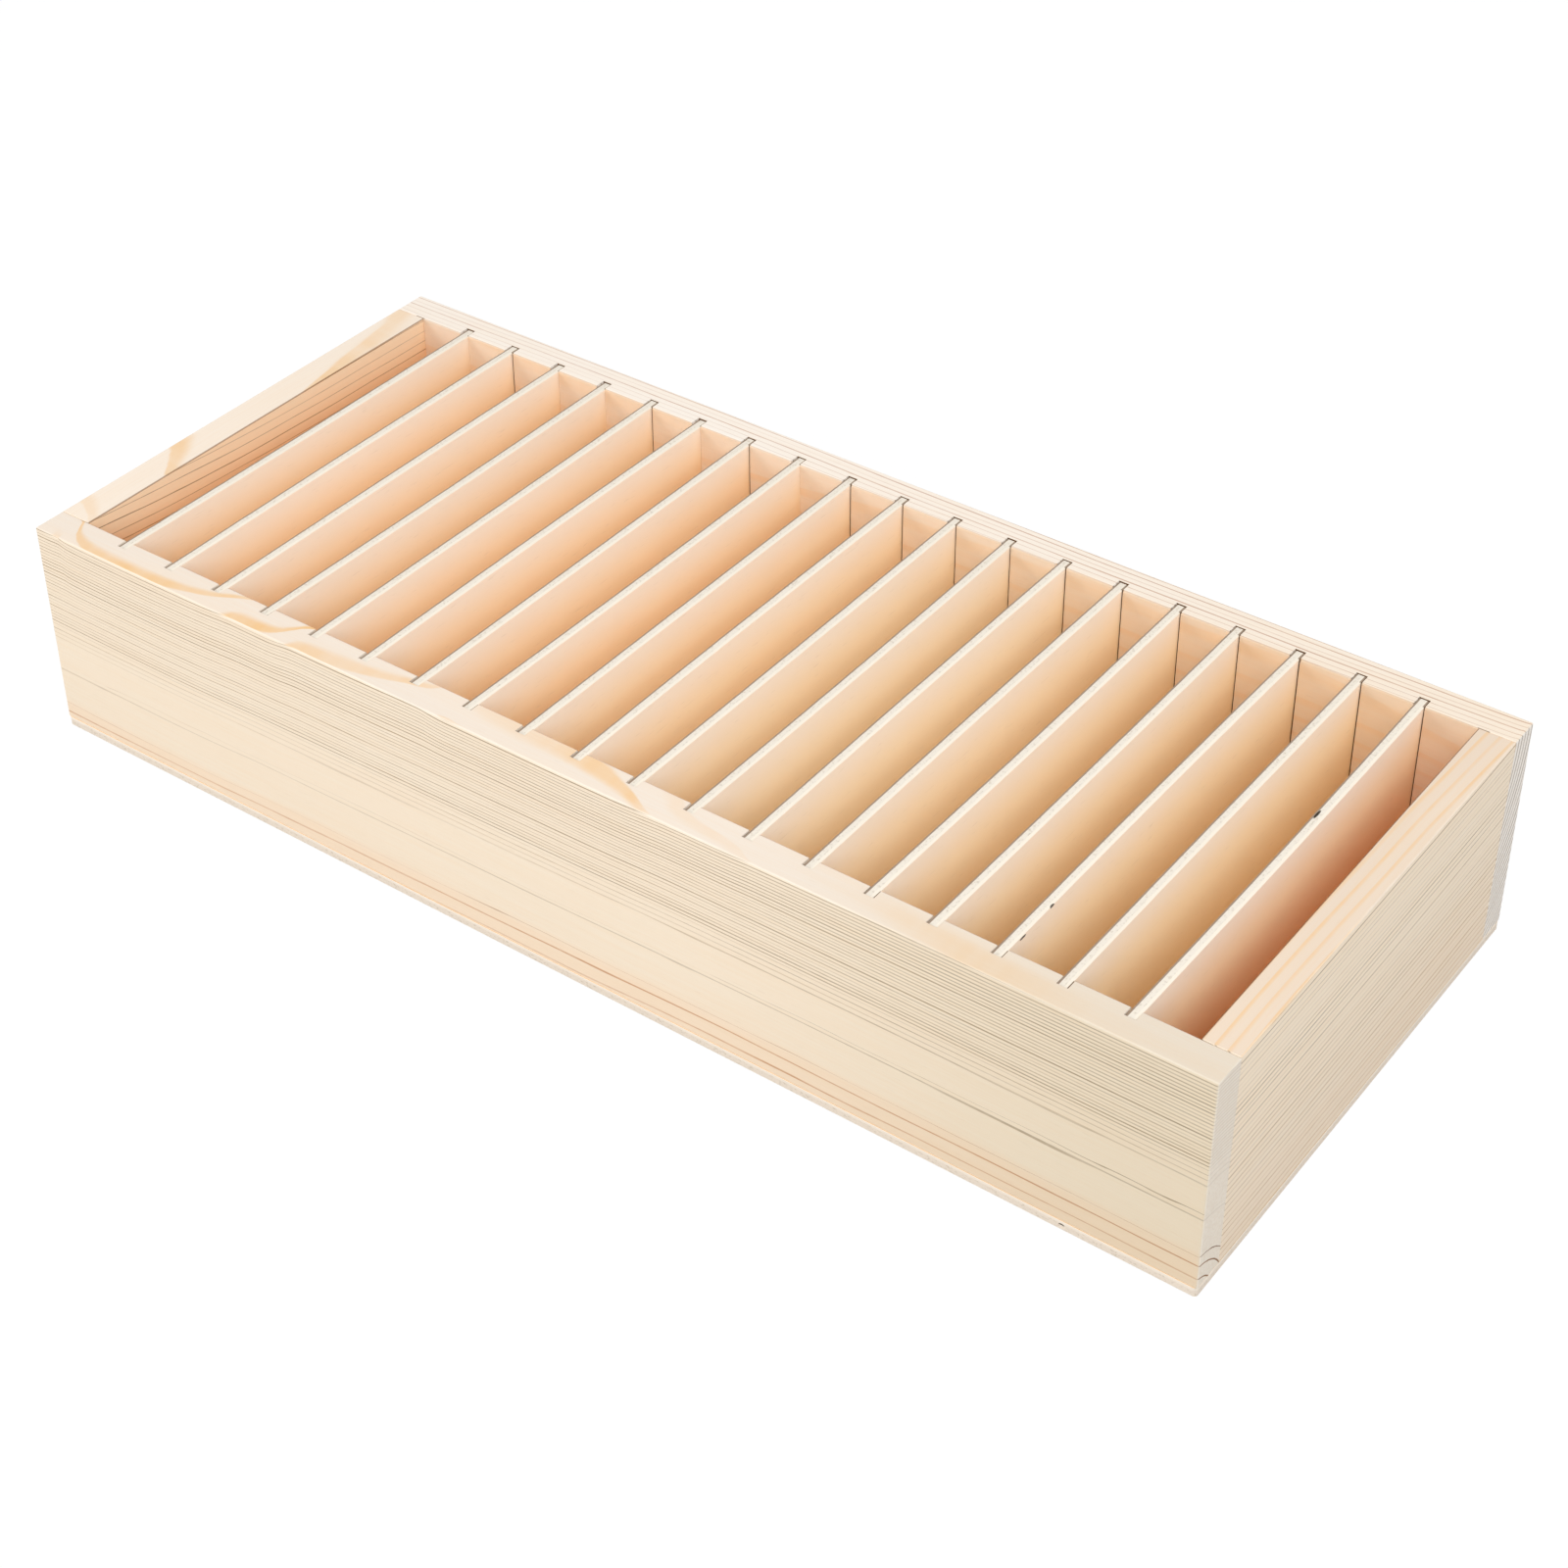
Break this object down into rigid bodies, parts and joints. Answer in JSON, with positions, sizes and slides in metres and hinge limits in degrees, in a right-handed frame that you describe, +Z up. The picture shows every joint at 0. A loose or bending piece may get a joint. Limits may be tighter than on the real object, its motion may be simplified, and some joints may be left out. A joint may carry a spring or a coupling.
{
  "type": "card organizer box",
  "caption": "Open wooden tray of pine boards on a thin plywood bottom, with loose plywood dividers in grooves that sort cards standing on edge.",
  "frame": {"origin": "middle of the underside, on the surface that the box stands on", "axes": "+X along the length to the right, +Y from the front board to the back board, +Z up"},
  "size_m": [0.4, 0.171, 0.073],
  "materials": {
    "pine": "planed, unfinished",
    "plywood": "sanded, unfinished"
  },
  "bodies": {
    "box": {"front_board": "pine", "back_board": "pine", "left_end_board": "pine", "right_end_board": "pine", "bottom_panel": "plywood"},
    "divider_01": {"divider_01": "plywood"},
    "divider_02": {"divider_02": "plywood"},
    "divider_03": {"divider_03": "plywood"},
    "divider_04": {"divider_04": "plywood"},
    "divider_05": {"divider_05": "plywood"},
    "divider_06": {"divider_06": "plywood"},
    "divider_07": {"divider_07": "plywood"},
    "divider_08": {"divider_08": "plywood"},
    "divider_09": {"divider_09": "plywood"},
    "divider_10": {"divider_10": "plywood"},
    "divider_11": {"divider_11": "plywood"},
    "divider_12": {"divider_12": "plywood"},
    "divider_13": {"divider_13": "plywood"},
    "divider_14": {"divider_14": "plywood"},
    "divider_15": {"divider_15": "plywood"},
    "divider_16": {"divider_16": "plywood"},
    "divider_17": {"divider_17": "plywood"},
    "divider_18": {"divider_18": "plywood"},
    "divider_19": {"divider_19": "plywood"}
  },
  "joints": [
    {"name": "divider_01_lift", "type": "slide", "parent": "box", "child": "divider_01", "axis": [0, 0, 1], "range_m": [0, 0.075]},
    {"name": "divider_02_lift", "type": "slide", "parent": "box", "child": "divider_02", "axis": [0, 0, 1], "range_m": [0, 0.075]},
    {"name": "divider_03_lift", "type": "slide", "parent": "box", "child": "divider_03", "axis": [0, 0, 1], "range_m": [0, 0.075]},
    {"name": "divider_04_lift", "type": "slide", "parent": "box", "child": "divider_04", "axis": [0, 0, 1], "range_m": [0, 0.075]},
    {"name": "divider_05_lift", "type": "slide", "parent": "box", "child": "divider_05", "axis": [0, 0, 1], "range_m": [0, 0.075]},
    {"name": "divider_06_lift", "type": "slide", "parent": "box", "child": "divider_06", "axis": [0, 0, 1], "range_m": [0, 0.075]},
    {"name": "divider_07_lift", "type": "slide", "parent": "box", "child": "divider_07", "axis": [0, 0, 1], "range_m": [0, 0.075]},
    {"name": "divider_08_lift", "type": "slide", "parent": "box", "child": "divider_08", "axis": [0, 0, 1], "range_m": [0, 0.075]},
    {"name": "divider_09_lift", "type": "slide", "parent": "box", "child": "divider_09", "axis": [0, 0, 1], "range_m": [0, 0.075]},
    {"name": "divider_10_lift", "type": "slide", "parent": "box", "child": "divider_10", "axis": [0, 0, 1], "range_m": [0, 0.075]},
    {"name": "divider_11_lift", "type": "slide", "parent": "box", "child": "divider_11", "axis": [0, 0, 1], "range_m": [0, 0.075]},
    {"name": "divider_12_lift", "type": "slide", "parent": "box", "child": "divider_12", "axis": [0, 0, 1], "range_m": [0, 0.075]},
    {"name": "divider_13_lift", "type": "slide", "parent": "box", "child": "divider_13", "axis": [0, 0, 1], "range_m": [0, 0.075]},
    {"name": "divider_14_lift", "type": "slide", "parent": "box", "child": "divider_14", "axis": [0, 0, 1], "range_m": [0, 0.075]},
    {"name": "divider_15_lift", "type": "slide", "parent": "box", "child": "divider_15", "axis": [0, 0, 1], "range_m": [0, 0.075]},
    {"name": "divider_16_lift", "type": "slide", "parent": "box", "child": "divider_16", "axis": [0, 0, 1], "range_m": [0, 0.075]},
    {"name": "divider_17_lift", "type": "slide", "parent": "box", "child": "divider_17", "axis": [0, 0, 1], "range_m": [0, 0.075]},
    {"name": "divider_18_lift", "type": "slide", "parent": "box", "child": "divider_18", "axis": [0, 0, 1], "range_m": [0, 0.075]},
    {"name": "divider_19_lift", "type": "slide", "parent": "box", "child": "divider_19", "axis": [0, 0, 1], "range_m": [0, 0.075]}
  ]
}
